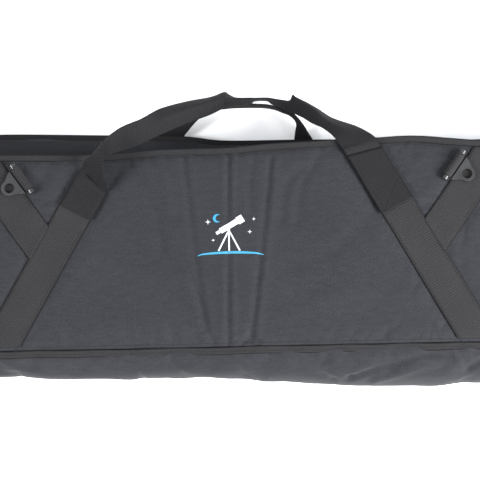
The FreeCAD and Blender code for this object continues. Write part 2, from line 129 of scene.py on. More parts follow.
# The handles: for each station the lower rail, the ridge and the upper rail of the webbing.
FRONT_HANDLE = [
    ((-246, 40, 104.6), (-224, 28, 104.6), (-202, 16, 104.6)),
    ((-236, 58, 104.6), (-214, 47, 104.7), (-192, 35, 104.7)),
    ((-225, 78, 104.7), (-203, 67, 105.4), (-182, 56, 107)),
    ((-216, 92, 105.2), (-198, 84, 113), (-181, 74, 128)),
    ((-211, 103, 106), (-196, 101, 123), (-181, 97, 142)),
    ((-200, 107, 108), (-191, 113, 127), (-179, 118, 146)),
    ((-184, 107, 110), (-177, 117, 127), (-169, 129, 144)),
    ((-162, 115, 107), (-158, 126, 124), (-154, 141, 139)),
    ((-134, 125, 105), (-130, 137, 121), (-129, 153, 134)),
    ((-102, 143, 94), (-102, 158, 110), (-106, 175, 108)),
    ((-66, 165, 72), (-66, 182, 85), (-70, 198, 68)),
    ((-38, 181, 54), (-37, 196, 68), (-36, 210, 50)),
    ((-18, 195, 40), (-17, 204, 59), (-15, 219, 45)),
    ((-12, 198, 36), (-11, 204, 58), (-8, 217, 40)),
    ((6, 202, 32), (6, 205, 57), (6, 212, 34)),
    ((24, 204, 32), (24, 205, 56), (24, 212.5, 33)),
    ((30, 208, 33), (30, 205, 56), (30, 212.5, 33)),
    ((48, 208, 33), (48, 205, 56), (48, 212, 33)),
    ((56, 203, 32), (56, 203.5, 55), (56, 211, 34)),
    ((70, 197, 34), (70, 201, 53), (70, 208, 36)),
    ((79, 190, 38), (80, 199, 52), (82, 205, 42)),
    ((85, 185, 44), (86, 200, 54), (86, 210.5, 52)),
    ((91, 181, 48), (92, 197, 60), (91, 206, 54)),
    ((101, 173, 56), (105, 187, 70), (107, 195, 60)),
    ((112, 162, 66), (117, 175, 80), (121, 184, 66)),
    ((126, 148, 86), (133, 158, 86), (142, 168, 70)),
    ((140, 130, 102), (156, 141, 99), (174, 150, 86)),
    ((150, 112, 105.4), (172, 122, 106), (194, 131, 104.6)),
    ((160, 95, 104.8), (182, 107, 105.2), (204, 118, 104.8)),
    ((181, 56, 104.6), (203, 67, 104.7), (225, 78, 104.6)),
    ((202, 16, 104.6), (224, 28, 104.6), (246, 40, 104.6)),
]
HANDLE_CREASES = [
    ([(-206, 81), (-180, 53)], 2.6, -3.4),
    ([(-200, 88), (-177, 62)], 5, 2.2),
    ([(-214, 68), (-183, 50)], 1.6, -0.9),
    ([(151, 101), (203, 114)], 2.2, -2.6),
    ([(152, 109), (202, 122)], 4, 1.4),
]
BACK_HANDLE = [
    ((-78, 150, 1.2), (-103, 150, 1.2), (-128, 150, 1.2)),
    ((-78, 163, 1.5), (-103, 164, 1.3), (-128, 164, 1.3)),
    ((-70, 172, 9), (-94, 174, 7), (-118, 176, 3)),
    ((-56, 184, 20), (-76, 187, 15), (-98, 190, 5)),
    ((-40, 196, 24), (-44, 200, 26), (-52, 206, 6)),
    ((-14, 205, 8), (-14, 205, 27), (-14, 210, 5)),
    ((6, 207, 5), (6, 206, 27), (6, 211, 4)),
    ((42, 206.5, 5), (42, 205, 26), (42, 210, 4)),
    ((60, 203, 6), (60, 202, 26), (61, 207, 4)),
    ((71, 196, 13), (74, 197, 25), (78, 202, 5)),
    ((84, 189, 15), (87, 190, 24), (91, 194, 5)),
    ((92, 178, 14), (97, 179, 18), (103, 179, 5)),
    ((90, 166, 7), (100, 167, 8), (110, 167, 3)),
    ((89, 156, 2), (103, 157, 2), (117, 156, 1.5)),
    ((88, 146, 1.2), (103, 146, 1.2), (118, 146, 1.2)),
]


# ---------------- lines and surfaces


def curve(stations, count, measured=slice(None)):
    """A smooth line through stations, as evenly spaced points. measured picks the columns to space by."""
    points = np.asarray(stations, float)
    points = np.vstack([2 * points[0] - points[1], points, 2 * points[-1] - points[-2]])
    t = np.linspace(0, 1, SAMPLES, endpoint=False)[:, None]
    runs = [
        0.5 * (2 * b + (c - a) * t + (2 * a - 5 * b + 4 * c - d) * t**2 + (3 * b - a - 3 * c + d) * t**3)
        for a, b, c, d in zip(points, points[1:], points[2:], points[3:])
    ]
    line = np.vstack([*runs, points[-2:-1]])
    return evenly(line, count, measured)


def evenly(line, count, measured=slice(None)):
    """The same line with its points at equal steps."""
    line = np.asarray(line, float)
    steps = np.linalg.norm(np.diff(line[:, measured], axis=0), axis=1)
    reach = np.concatenate([[0], np.cumsum(steps)])
    wanted = np.linspace(0, reach[-1], count)
    return np.stack([np.interp(wanted, reach, column) for column in line.T], axis=1)


def profile(table, x):
    """The smooth value at X of a line along the case."""
    line = curve(table, 400)
    return np.interp(x, line[:, 0], line[:, 1])


def ripple(x, y, wave_x, wave_y, seed):
    """A smooth uneven wave over the plane, from about -1 to 1."""
    phase = np.random.RandomState(seed).uniform(0, 2 * math.pi, (5, 2))
    total = 0
    for number, (phase_x, phase_y) in enumerate(phase, start=1):
        stretch = 0.6 + 0.27 * number
        bend = 0.9 * np.sin(y / wave_y * 2 * math.pi * stretch * 0.7 + phase_y)
        total = total + np.sin(stretch * x / wave_x * 2 * math.pi + phase_x + bend) / 5
    return total * 1.6


def crease(x, y, line, width, rise):
    """How far a crease lifts the surface at X and Y."""
    fine = curve(line, 60)
    gap_x = x[..., None] - fine[:, 0]
    gap_y = y[..., None] - fine[:, 1]
    near = np.sqrt(gap_x**2 + gap_y**2).min(axis=-1)
    return rise * np.exp(-((near / width) ** 2))


def folded(x, y, creases):
    """The sum of several creases."""
    return sum(crease(x, y, *values) for values in creases)


def normals_of(grid):
    """Unit normals of a grid of points."""
    along = np.gradient(grid, axis=0)
    across = np.gradient(grid, axis=1)
    normal = np.cross(along, across)
    return normal / np.maximum(np.linalg.norm(normal, axis=-1, keepdims=True), 1e-9)


# ---------------- meshes


def grid_faces(rows, columns, offset=0):
    """Quads of a grid of points, row by row."""
    index = np.arange(rows * columns).reshape(rows, columns) + offset
    corners = [index[:-1, :-1], index[1:, :-1], index[1:, 1:], index[:-1, 1:]]
    return np.stack(corners, axis=-1).reshape(-1, 4)


def rim_faces(rows, columns):
    """Quads that join the borders of two grids of the same size."""
    index = np.arange(rows * columns).reshape(rows, columns)
    loop = np.concatenate([index[0, :-1], index[:-1, -1], index[-1, :0:-1], index[:0:-1, 0]])
    after = np.roll(loop, -1)
    other = rows * columns
    return np.stack([loop, after, after + other, loop + other], axis=-1)


def linked(name, data):
    """An object in the scene with this name and data."""
    made = bpy.data.objects.new(name, data)
    bpy.context.scene.collection.objects.link(made)
    return made


def build(name, points, faces, coordinates, materials, slots):
    """A mesh object from points in millimetres, with its own cloth coordinates in metres."""
    mesh = bpy.data.meshes.new(name)
    mesh.from_pydata((np.asarray(points) * MM).tolist(), [], np.asarray(faces).tolist())
    for material in materials:
        mesh.materials.append(material)
    mesh.polygons.foreach_set("material_index", np.asarray(slots, np.int32))
    mesh.polygons.foreach_set("use_smooth", np.ones(len(mesh.polygons), bool))
    corners = np.zeros(len(mesh.loops), np.int32)
    mesh.loops.foreach_get("vertex_index", corners)
    layer = mesh.uv_layers.new(name="cloth")
    layer.data.foreach_set("uv", (np.asarray(coordinates)[corners] * MM).astype(np.float32).ravel())
    mesh.update()
    return linked(name, mesh)


def cloth_coordinates(grid, directions=None):
    """Distances along a grid's two directions, or along the two that are given."""
    if directions is not None:
        along, across = (np.asarray(d, float) for d in directions)
        middle = grid.reshape(-1, 3).mean(axis=0)
        return np.stack([(grid - middle) @ along, (grid - middle) @ across], axis=-1).reshape(-1, 2)
    middle = grid.shape[1] // 2
    run = np.concatenate([[0], np.cumsum(np.linalg.norm(np.diff(grid[:, middle], axis=0), axis=1))])
    steps = np.linalg.norm(np.diff(grid, axis=1), axis=2)
    across = np.concatenate([np.zeros((len(grid), 1)), np.cumsum(steps, axis=1)], axis=1)
    across = across - across[:, -1:] / 2
    return np.stack([np.broadcast_to(run[:, None], across.shape), across], axis=-1).reshape(-1, 2)


def slab(name, outer, inner, materials, directions=None):
    """A closed piece between two grids of points. The second material, if given, is on the inner grid."""
    rows, columns = outer.shape[:2]
    points = np.concatenate([outer.reshape(-1, 3), inner.reshape(-1, 3)])
    front = grid_faces(rows, columns)
    back = grid_faces(rows, columns, rows * columns)[:, ::-1]
    edge = rim_faces(rows, columns)
    faces = np.concatenate([front, back, edge])
    slots = np.zeros(len(faces), int)
    slots[len(front):len(front) + len(back)] = len(materials) - 1
    corner = points[faces]
    volume = np.einsum("ij,ij->i", corner[:, 0], np.cross(corner[:, 1], corner[:, 2])).sum()
    volume += np.einsum("ij,ij->i", corner[:, 0], np.cross(corner[:, 2], corner[:, 3])).sum()
    if volume < 0:
        faces = faces[:, ::-1]
    coordinates = cloth_coordinates(outer, directions)
    return build(name, points, faces, np.concatenate([coordinates, coordinates]), materials, slots)


def ribbon(name, grid, thick, materials, directions=None, soft_edge=0.45):
    """Webbing or tape along a grid of points, thinner at its selvages."""
    share = np.abs(np.linspace(-1, 1, grid.shape[1]))
    half = (np.asarray(thick, float) / 2).reshape(-1, 1) * (1 - soft_edge * share**8)[None, :]
    lift = normals_of(grid) * half[..., None]
    return slab(name, grid + lift, grid - lift, materials, directions)


def between(low, high, columns):
    """A grid of points between two edge lines."""
    share = np.linspace(0, 1, columns)[None, :, None]
    return np.asarray(low)[:, None, :] * (1 - share) + np.asarray(high)[:, None, :] * share


def settle(piece, pinned, cap):
    """Lets a padded piece swell by cloth simulation. Pinned points stay, and none moves further than cap."""
    scene = bpy.context.scene
    rest = np.zeros(len(piece.data.vertices) * 3)
    piece.data.vertices.foreach_get("co", rest)
    rest = rest.reshape(-1, 3)
    piece.vertex_groups.new(name="pinned").add(np.flatnonzero(pinned).tolist(), 1.0, "REPLACE")
    cloth = piece.modifiers.new("swell", "CLOTH")
    cloth.settings.quality = 4
    cloth.settings.use_pressure = True
    cloth.settings.uniform_pressure_force = 4
    cloth.settings.effector_weights.gravity = 0
    cloth.settings.vertex_group_mass = "pinned"
    cloth.settings.shrink_min = -0.012
    cloth.settings.bending_stiffness = 0.4
    for number in range(1, 21):
        scene.frame_set(number)
    swollen = piece.evaluated_get(bpy.context.evaluated_depsgraph_get()).data
    moved = np.zeros(len(rest) * 3)
    swollen.vertices.foreach_get("co", moved)
    move = moved.reshape(-1, 3) - rest
    far = np.linalg.norm(move, axis=1, keepdims=True)
    move *= cap * MM * np.tanh(far / (cap * MM)) / np.maximum(far, 1e-9)
    piece.modifiers.remove(cloth)
    piece.vertex_groups.clear()
    scene.frame_set(1)
    piece.data.vertices.foreach_set("co", (rest + move).ravel())
    piece.data.update()


def smoother(piece):
    """Rounds a piece off with a subdivision surface."""
    modifier = piece.modifiers.new("round", "SUBSURF")
    modifier.levels = 1
    modifier.render_levels = 1
    return piece


def refinished(name, material, width, segments=2):
    """Gives a CAD part that is kept its material, and breaks its hard edges."""
    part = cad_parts[name]
    part.data.materials.clear()
    part.data.materials.append(material)
    modifier = part.modifiers.new("edges", "BEVEL")
    modifier.width = width * MM
    modifier.segments = segments
    modifier.limit_method = "ANGLE"


class Ground:
    """What lies under a strap, stitch or print: the height of the pieces added so far."""

    def __init__(self):
        self.trees = []

    def add(self, *pieces):
        for piece in pieces:
            vertices = [vertex.co for vertex in piece.data.vertices]
            faces = [tuple(face.vertices) for face in piece.data.polygons]
            self.trees.append(BVHTree.FromPolygons(vertices, faces))

    def height(self, x, y):
        """The highest surface at X and Y, or None where there is none."""
        start = Vector((x * MM, y * MM, LOOK_FROM * MM))
        hits = [tree.ray_cast(start, Vector((0, 0, -1)))[0] for tree in self.trees]
        found = [hit.z / MM for hit in hits if hit is not None]
        return max(found) if found else None

    def heights(self, x, y):
        """The same for arrays. A place with nothing under it takes the middle value of the others."""
        values = [self.height(a, b) for a, b in zip(x.ravel(), y.ravel())]
        spare = np.median([v for v in values if v is not None])
        return np.array([spare if v is None else v for v in values]).reshape(x.shape)


ground = Ground()


# ---------------- materials


class Paint:
    """A short way to write a material's nodes."""

    def __init__(self, name, colour, roughness, sheen=0.0, specular=0.5):
        self.material = bpy.data.materials.new(name)
        self.material.use_nodes = True
        self.tree = self.material.node_tree
        self.shader = self.tree.nodes["Principled BSDF"]
        self.shader.inputs["Base Color"].default_value = (*colour, 1)
        self.shader.inputs["Roughness"].default_value = roughness
        self.shader.inputs["Sheen Weight"].default_value = sheen
        self.shader.inputs["Sheen Roughness"].default_value = 0.45
        self.shader.inputs["Specular IOR Level"].default_value = specular
        self.colour = colour

    def node(self, kind, links=None, **values):
        made = self.tree.nodes.new(kind)
        for key, value in values.items():
            setattr(made, key, value)
        for key, value in (links or {}).items():
            if isinstance(value, bpy.types.NodeSocket):
                self.tree.links.new(value, made.inputs[key])
            else:
                made.inputs[key].default_value = value
        return made

    def cloth(self):
        """The cloth's own coordinates, in metres."""
        return self.node("ShaderNodeUVMap", uv_map="cloth").outputs["UV"]

    def place(self):
        """The part's own coordinates, in metres."""
        return self.node("ShaderNodeTexCoord").outputs["Object"]

    def noise(self, vector, scale, detail, stretch=(1, 1, 1)):
        mapped = self.node("ShaderNodeMapping", {"Vector": vector, "Scale": stretch}).outputs[0]
        links = {"Vector": mapped, "Scale": scale, "Detail": detail}
        return self.node("ShaderNodeTexNoise", links).outputs["Fac"]

    def wave(self, vector, pitch, direction, bend=0.0):
        """Ridges of one pitch in millimetres, along the cloth (X) or across it (Y)."""
        scale = 2 * math.pi / WAVE_RADIANS / (pitch * MM)
        links = {"Vector": vector, "Scale": scale, "Distortion": bend}
        return self.node("ShaderNodeTexWave", links, bands_direction=direction).outputs["Fac"]

    def math(self, operation, a, b=0.0):
        return self.node("ShaderNodeMath", {0: a, 1: b}, operation=operation).outputs[0]

    def spread(self, value, low, high, to_low, to_high):
        links = {"Value": value, "From Min": low, "From Max": high, "To Min": to_low, "To Max": to_high}
        return self.node("ShaderNodeMapRange", links).outputs[0]

    def shade(self, *factors):
        """The base colour, made lighter and darker by the factors."""
        total = factors[0]
        for factor in factors[1:]:
            total = self.math("MULTIPLY", total, factor)
        scaled = self.node("ShaderNodeVectorMath", {0: self.colour, "Scale": total}, operation="SCALE")
        self.tree.links.new(scaled.outputs[0], self.shader.inputs["Base Color"])

    def rough(self, value, low, high):
        self.tree.links.new(self.spread(value, 0.3, 0.7, low, high), self.shader.inputs["Roughness"])

    def bump(self, height, distance, strength):
        """Adds relief, with its depth in millimetres."""
        links = {"Height": height, "Distance": distance * MM, "Strength": strength}
        before = self.shader.inputs["Normal"].links
        if before:
            links["Normal"] = before[0].from_socket
        bumped = self.node("ShaderNodeBump", links)
        self.tree.links.new(bumped.outputs[0], self.shader.inputs["Normal"])


def cover_cloth():
    """Coarse woven polyester: crossed yarns, uneven dye and a dusty sheen."""
    paint = Paint("cover_cloth", (0.0150, 0.0157, 0.0182), 0.72, sheen=0.02, specular=0.08)
    cloth = paint.cloth()
    patches = paint.noise(cloth, 9, 4)
    specks = paint.noise(cloth, 430, 2)
    slubs = paint.noise(cloth, 170, 3, (0.35, 1, 1))
    warp = paint.wave(cloth, 0.9, "X", 0.3)
    weft = paint.wave(cloth, 0.9, "Y", 0.3)
    yarns = paint.math("MULTIPLY", warp, weft)
    paint.shade(
        paint.spread(patches, 0.3, 0.7, 0.92, 1.07),
        paint.spread(specks, 0.3, 0.7, 0.78, 1.22),
        paint.spread(slubs, 0.3, 0.7, 0.9, 1.1),
        paint.spread(yarns, 0, 1, 0.9, 1.14),
    )
    paint.rough(patches, 0.66, 0.8)
    paint.bump(paint.noise(cloth, 26, 3), 0.9, 0.35)
    paint.bump(yarns, 0.14, 0.7)
    return paint.material


def lining_cloth():
    """Smooth grey nylon with a fine square weave."""
    paint = Paint("lining_cloth", (0.036, 0.038, 0.042), 0.7, sheen=0.02, specular=0.1)
    cloth = paint.cloth()
    patches = paint.noise(cloth, 14, 4)
    yarns = paint.math("MAXIMUM", paint.wave(cloth, 0.6, "X"), paint.wave(cloth, 0.6, "Y"))
    paint.shade(paint.spread(patches, 0.3, 0.7, 0.9, 1.08), paint.spread(yarns, 0, 1, 0.93, 1.05))
    paint.rough(patches, 0.62, 0.8)
    paint.bump(paint.noise(cloth, 40, 3), 0.8, 0.5)
    paint.bump(yarns, 0.06, 0.6)
    return paint.material


def webbing(name, colour, half, rib):
    """Ribbed webbing: cross ribs, long yarns, and darker selvages: partly the tighter weave's own tone,
    partly painted shade for the shadow line along the edges.
    """
    paint = Paint(name, colour, 0.8, sheen=0.02, specular=0.05)
    cloth = paint.cloth()
    patches = paint.noise(cloth, 16, 4)
    specks = paint.noise(cloth, 480, 2)
    ribs = paint.wave(cloth, rib, "X", 0.4)
    yarns = paint.wave(cloth, 1.4, "Y", 0.5)
    across = paint.node("ShaderNodeSeparateXYZ", {0: cloth}).outputs["Y"]
    side = paint.math("ABSOLUTE", across)
    # painted shade: the colour falls to 0.4 at both selvages, partly the tighter weave there, mostly the
    # shadow line along the webbing's edges
    selvage_and_edge_shade = paint.spread(side, (half - 1.8) * MM, (half - 0.5) * MM, 1.0, 0.4)
    paint.shade(
        paint.spread(patches, 0.3, 0.7, 0.9, 1.09),
        paint.spread(specks, 0.3, 0.7, 0.78, 1.22),
        paint.spread(ribs, 0, 1, 0.88, 1.1),
        selvage_and_edge_shade,
    )
    paint.rough(patches, 0.74, 0.88)
    worn = paint.spread(paint.noise(cloth, 60, 3), 0.35, 0.65, 0.35, 1.0)
    ribbed = paint.math("MULTIPLY", ribs, paint.spread(yarns, 0, 1, 0.6, 1))
    paint.bump(paint.math("MULTIPLY", ribbed, worn), 0.36, 0.9)
    return paint.material


def plastic(name, colour, roughness):
    """Moulded or enamelled black, with a fine grain and rubbed patches."""
    paint = Paint(name, colour, roughness)
    place = paint.place()
    rubbed = paint.noise(place, 60, 4)
    paint.shade(paint.spread(rubbed, 0.3, 0.7, 0.85, 1.25))
    paint.rough(rubbed, roughness - 0.08, roughness + 0.12)
    paint.bump(paint.noise(place, 1400, 2), 0.05, 0.35)
    return paint.material


def ink(name, colour):
    """Printed ink, a little worn where the weave shows through."""
    paint = Paint(name, colour, 0.55)
    cloth = paint.cloth()
    yarns = paint.math("MULTIPLY", paint.wave(cloth, 0.9, "X", 0.3), paint.wave(cloth, 0.9, "Y", 0.3))
    specks = paint.noise(cloth, 400, 3)
    paint.shade(paint.spread(specks, 0.3, 0.7, 0.86, 1.04), paint.spread(yarns, 0, 1, 0.92, 1.04))
    paint.bump(yarns, 0.1, 0.4)
    return paint.material


def thread():
    """Twisted black thread."""
    paint = Paint("thread", (0.007, 0.007, 0.0075), 0.6, sheen=0.02, specular=0.15)
    place = paint.place()
    twist = paint.noise(place, 900, 2, (1, 1, 0.4))
    paint.shade(paint.spread(twist, 0.3, 0.7, 0.7, 1.5))
    paint.bump(twist, 0.15, 0.6)
    return paint.material


def floor_paper():
    """Plain white paper with a hardly visible tooth."""
    paint = Paint("floor_paper", (0.92, 0.92, 0.92), 0.9, specular=0.1)
    paint.shade(paint.spread(paint.noise(paint.place(), 3, 3), 0.3, 0.7, 0.985, 1.0))
    return paint.material


COVER = cover_cloth()
LINING = lining_cloth()
WEBBING = webbing("webbing", (0.0160, 0.0156, 0.0162), 25, 3.4)
# painted shade: the same webbing as the straps made darker, so the handles look more shaded than their own
# shape makes them
SHADED_HANDLE_WEBBING = webbing("shaded_handle_webbing", (0.0098, 0.0096, 0.0106), 25, 3.6)
TAB_WEBBING = webbing("tab_webbing", (0.017, 0.0165, 0.0172), 20, 1.7)
BINDING = webbing("binding_tape", (0.0155, 0.0152, 0.0162), 5.4, 1.1)
ZIP_TAPE = webbing("zip_tape", (0.013, 0.013, 0.014), 3.8, 0.9)
COIL = plastic("zip_coil", (0.012, 0.012, 0.013), 0.42)
ENAMEL = plastic("zip_enamel", (0.016, 0.016, 0.017), 0.36)
ACETAL = plastic("ring_acetal", (0.011, 0.011, 0.0115), 0.3)
WHITE_INK = ink("white_ink", (0.36, 0.37, 0.38))
BLUE_INK = ink("blue_ink", (0.012, 0.16, 0.27))
THREAD = thread()


# ---------------- padded walls


def finish_piece(piece, body, slot, *nodes):
    """Rides a piece on its body and hides the CAD nodes it takes the place of. slot is not used."""
    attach(piece, body)
    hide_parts(*nodes)


def layers(wall):
    """The CAD nodes of one wall."""
    return [f"{wall}_cover", f"{wall}_foam", f"{wall}_lining"]


def border(rows, columns, mask=None):
    """The points of a slab that stay put: its border, and any others in the mask."""
    fixed = np.zeros((rows, columns), bool)
    fixed[[0, -1], :] = True
    fixed[:, [0, -1]] = True
    if mask is not None:
        fixed |= mask
    return np.concatenate([fixed.ravel(), fixed.ravel()])


def seam_taper(rows, columns):
    """The share of a wall's thickness that is left: the foam thins out towards the seams."""
    row = np.minimum(np.arange(rows), np.arange(rows)[::-1])[:, None]
    column = np.minimum(np.arange(columns), np.arange(columns)[::-1])[None, :]
    return 0.25 + 0.25 * np.clip(np.minimum(row, column), 0, 3)[..., None]


def wall_piece(name, outer, inward, body, nodes, cap=None, mask=None):
    """A padded wall: cover outside, lining inside. inward is 1 or -1 along the grid's normals."""
    inner = outer + normals_of(outer) * (inward * WALL * seam_taper(*outer.shape[:2]))
    piece = slab(name, outer, inner, [COVER, LINING])
    if cap:
        settle(piece, border(*outer.shape[:2], mask), cap)
    smoother(piece)
    finish_piece(piece, body, "cover_fabric", *nodes)
    return piece


def off_strap(x, y, top, lean):
    """Distance from a leaning strap's middle line, for the right-hand strap of a mirrored pair."""
    return (np.abs(x) - top[0]) * math.cos(lean) - (y - top[1]) * math.sin(lean)


def make_front_panel():
    """The lid's big panel: softly crowned between its seams, creased where the case has been folded."""
    seam_y, top_z, strap_clearance = -162.4, 99.9, 27
    middle = np.linspace(-344, 344, 216)
    far = np.linspace(352, END_X + TUCK, 44)
    share = np.linspace(0, 1, 73)[None, :]
    x = np.concatenate([-far[::-1], middle, far])[:, None] * np.ones_like(share)
    mouth_y = profile(MOUTH_Y, x) + TUCK
    y = seam_y * (1 - share) + mouth_y * share
    at_seam = np.exp(-((y - seam_y) / 9) ** 2)
    at_mouth = np.exp(-((y - mouth_y) / 3) ** 2)
    at_ends = np.exp(-((np.abs(x) - END_X - TUCK) / 3) ** 2)
    printed_on = np.exp(-((x - EMBLEM[0]) / 52) ** 2 - ((y - EMBLEM[1]) / 38) ** 2)
    depth = 1.3 - 0.9 * printed_on
    z = top_z + 0.55 * ripple(x, y, 210, 150, 3) + folded(x, y, FRONT_CREASES) * depth
    z = z - at_seam * (profile(SEAM_DROP, x) + 0.8) - np.maximum(at_mouth, at_ends) * 1.6
    outer = np.stack([x, y, z], axis=-1)
    strapped = np.abs(off_strap(x, y, STRAP_TOP, -LEAN)) < strap_clearance
    strapped |= (np.abs(off_strap(x, y, SIDE_TOP, SIDE_LEAN)) < strap_clearance) & (y > 0)
    ground.add(wall_piece("front_panel", outer, -1, "lid", layers("front"), cap=2.2, mask=strapped))


def make_bottom_gusset():
    """The bottom gusset: slack cloth that bulges from the hinge seam down to the back panel."""
    rows, columns = 237, 41
    seam_y, low_y = -163.2, -130.5
    xs = np.linspace(-END_X, END_X, rows)
    grid = np.zeros((rows, columns, 3))
    for i, (x, bulge, drop) in enumerate(zip(xs, profile(BULGE_Y, xs), profile(SEAM_DROP, xs))):
        section = [
            (seam_y, 98.6 - drop),
            (seam_y + 0.40 * (bulge - seam_y), 95.5 - 0.7 * drop),
            (seam_y + 0.78 * (bulge - seam_y), 82),
            (bulge, 56),
            (bulge + 4, 34),
            (0.55 * bulge + 0.45 * low_y, 13),
            (0.2 * bulge + 0.8 * low_y, 5.4),
            (low_y, 4.2),
        ]
        grid[i, :, 0] = x
        grid[i, :, 1:] = curve(section, columns)
    x, y = grid[..., 0], grid[..., 1]
    share = np.linspace(0, 1, columns)[None, :]
    free = np.sin(math.pi * share) ** 0.7
    lift = free * 1.1 * ripple(x, share * 150, 120, 110, 8)
    upper = share < 0.45
    lift = lift + np.where(upper, 1.5 * free * folded(x, y, GUSSET_FOLDS), 0)
    outer = grid - normals_of(grid) * lift[..., None]
    wall_piece("bottom_gusset", outer, 1, "case", layers("bottom_gusset"), cap=4.0)


def strip_grid(section_at):
    """A long wall from a cross-section that changes along the case."""
    rows, columns = 119, 17
    grid = np.zeros((rows, columns, 3))
    for i, x in enumerate(np.linspace(-END_X, END_X, rows)):
        grid[i, :, 0] = x
        grid[i, :, 1:] = curve(section_at(x), columns)
    return grid


def make_strips():
    """The narrow walls on both sides of the zip."""
    def lid_section(x):
        mouth = float(profile(MOUTH_Y, x))
        return [(mouth - 0.6, 97.6), (0.55 * mouth + 42.5, 86), (98, 70), (93.0, 58), (92.7, 53.0)]

    def case_section(x):
        edge = float(profile(BACK_EDGE_Y, x)) - TAPE
        slack = (0.35 * edge + 61, 30 + 2 * math.sin(x / 90))
        return [(92.7, 47.0), (93.0, 42), slack, (0.75 * edge + 24, 17), (edge + 2, 7)]

    for name, section, body in (("lid_strip", lid_section, "lid"), ("case_strip", case_section, "case")):
        wall_piece(name, strip_grid(section), -1, body, layers(name))


def make_back_panel():
    """The panel above the straps that the case lies on, with a slight wave."""
    share = np.linspace(0, 1, 61)[None, :]
    x = np.linspace(-END_X - TUCK, END_X + TUCK, 179)[:, None] * np.ones_like(share)
    y = -134 * (1 - share) + (profile(BACK_EDGE_Y, x) - TAPE + TUCK) * share
    z = 3.0 + 0.5 * ripple(x, y, 190, 130, 5)
    outer = np.stack([x, y, z], axis=-1)
    wall_piece("back_panel", outer, 1, "case", layers("back"))


def end_patch(low_z, high_z, left_y, right_y, side):
    """One padded patch of an end panel, as its outer and inner grids."""
    z = np.linspace(low_z, high_z, 15)[None, :] * np.ones((21, 1))
    share = np.linspace(0, 1, 21)[:, None]
    y = left_y(z) * (1 - share) + right_y(z) * share
    crown = np.sin(math.pi * share) * np.sin(math.pi * (z - low_z) / (high_z - low_z))
    x = side * (END_X - 0.2 + 4.5 * np.clip(crown, 0, 1) + 0.8 * ripple(y, z, 90, 70, 11))
    outer = np.stack([x, y, z], axis=-1)
    inner = outer - np.array([side * WALL, 0, 0])
    return outer, inner


def make_ends():
    """The end panels. The case's part has a corner of its own beside the hinge."""
    def across(points):
        heights, values = zip(*points)
        return lambda z: np.interp(z, heights, values)

    bulge_side = across([(8.8, -152), (13, -166), (34, -196), (56, -200), (82, -192), (ROOF, -178)])
    lid_hinge_side = across([(0, -111.6), (99, -111.6)])
    lid_mouth_side = across([(53, 86), (58, 86.3), (ROOF, 102)])
    case_hinge_side = across([(0, -112.6), (99, -112.6)])
    case_mouth_side = across([(8.8, 140), (42, 87), (47, 86)])
    patches = {
        "lid_end": [(53.0, ROOF, lid_hinge_side, lid_mouth_side)],
        "case_end": [(8.8, 47.0, bulge_side, case_mouth_side), (47.2, ROOF, bulge_side, case_hinge_side)],
    }
    for end, body in (("lid_end", "lid"), ("case_end", "case")):
        for side_name, side in SIDES:
            for number, patch in enumerate(patches[end], start=1):
                outer, inner = end_patch(*patch, side)
                piece = slab(f"{end}_{side_name}_{number}", outer, inner, [COVER, LINING])
                smoother(piece)
                finish_piece(piece, body, "cover_fabric", *layers(f"{end}_{side_name}"))


# ---------------- bindings and zip


def loop_edges(inner_line, outer_line, step):
    """Two edge lines of a tape that turns corners, cut into matching short rows."""
    middle = (np.asarray(inner_line, float) + np.asarray(outer_line, float)) / 2
    joined = np.hstack([np.asarray(inner_line, float), np.asarray(outer_line, float), middle])
    length = np.linalg.norm(np.diff(middle, axis=0), axis=1).sum()
    fine = evenly(joined, int(length / step), slice(6, 9))
    return fine[:, :3], fine[:, 3:6]


def mouth_path(table, offset, z, reach):
    """Points along a line of the mouth at one offset from it, out to a reach at both ends."""
    xs = np.linspace(-SEAM_X, SEAM_X, 120)
    return [(x * reach / SEAM_X, float(y) + offset, z) for x, y in zip(xs, profile(table, xs))]


def make_bindings():
    """Folded tape along the front seam, round the back panel, and along the hinge seam."""
    wide = END_X + TAPE
    low_y = -111.7

    def front_run(offset, reach):
        run = mouth_path(MOUTH_Y, offset, 99.1, reach)
        return [(-reach, low_y, 99.1), *run, (reach, low_y, 99.1)]

    inner, outer = loop_edges(front_run(-0.6, SEAM_X), front_run(10.2, wide), 4)
    for line in (inner, outer):
        line[:, 2] += 0.35 * ripple(line[:, 0], line[:, 1], 90, 60, 21)
    front = ribbon("front_binding_tape", between(inner, outer, 9), 2.6, [BINDING])
    finish_piece(smoother(front), "lid", "binding_tape", "front_binding")

    def back_run(offset, reach, tuck):
        middle = (0, tuck, 2.6)
        left = [(-reach, tuck, 2.6), (-reach, tuck + 8, 3.9)]
        right = [(reach, tuck + 8, 3.9), (reach, tuck, 2.6)]
        return [middle, *left, *mouth_path(BACK_EDGE_Y, offset, 3.9, reach), *right, middle]

    inner, outer = loop_edges(back_run(-TAPE, SEAM_X, -130.2), back_run(0, wide, -140.6), 4)
    back = ribbon("back_binding_tape", between(inner, outer, 9), 2.4, [BINDING])
    finish_piece(smoother(back), "case", "binding_tape", "back_binding")

    def hinge_run(reach, y, z, dropped):
        xs = np.linspace(-reach, reach, 120)
        run = [(x, y, z - dropped * d) for x, d in zip(xs, profile(SEAM_DROP, xs))]
        return [(-reach, -112.4, 98.8), *run, (reach, -112.4, 98.8)]

    inner = hinge_run(SEAM_X, -162.2, 98.9, 0.9)
    outer = hinge_run(wide, -173.2, 96.8, 1.15)
    inner, outer = loop_edges(inner, outer, 4)
    for line in (inner, outer):
        line[:, 2] += 0.5 * ripple(line[:, 0], line[:, 1], 110, 60, 33)
        line[:, 1] += 0.6 * ripple(line[:, 0], line[:, 2], 140, 60, 34)
    hinge = ribbon("hinge_binding_tape", between(inner, outer, 9), 2.8, [BINDING])
    finish_piece(smoother(hinge), "case", "binding_tape", "hinge_binding")
    ground.add(front, hinge)


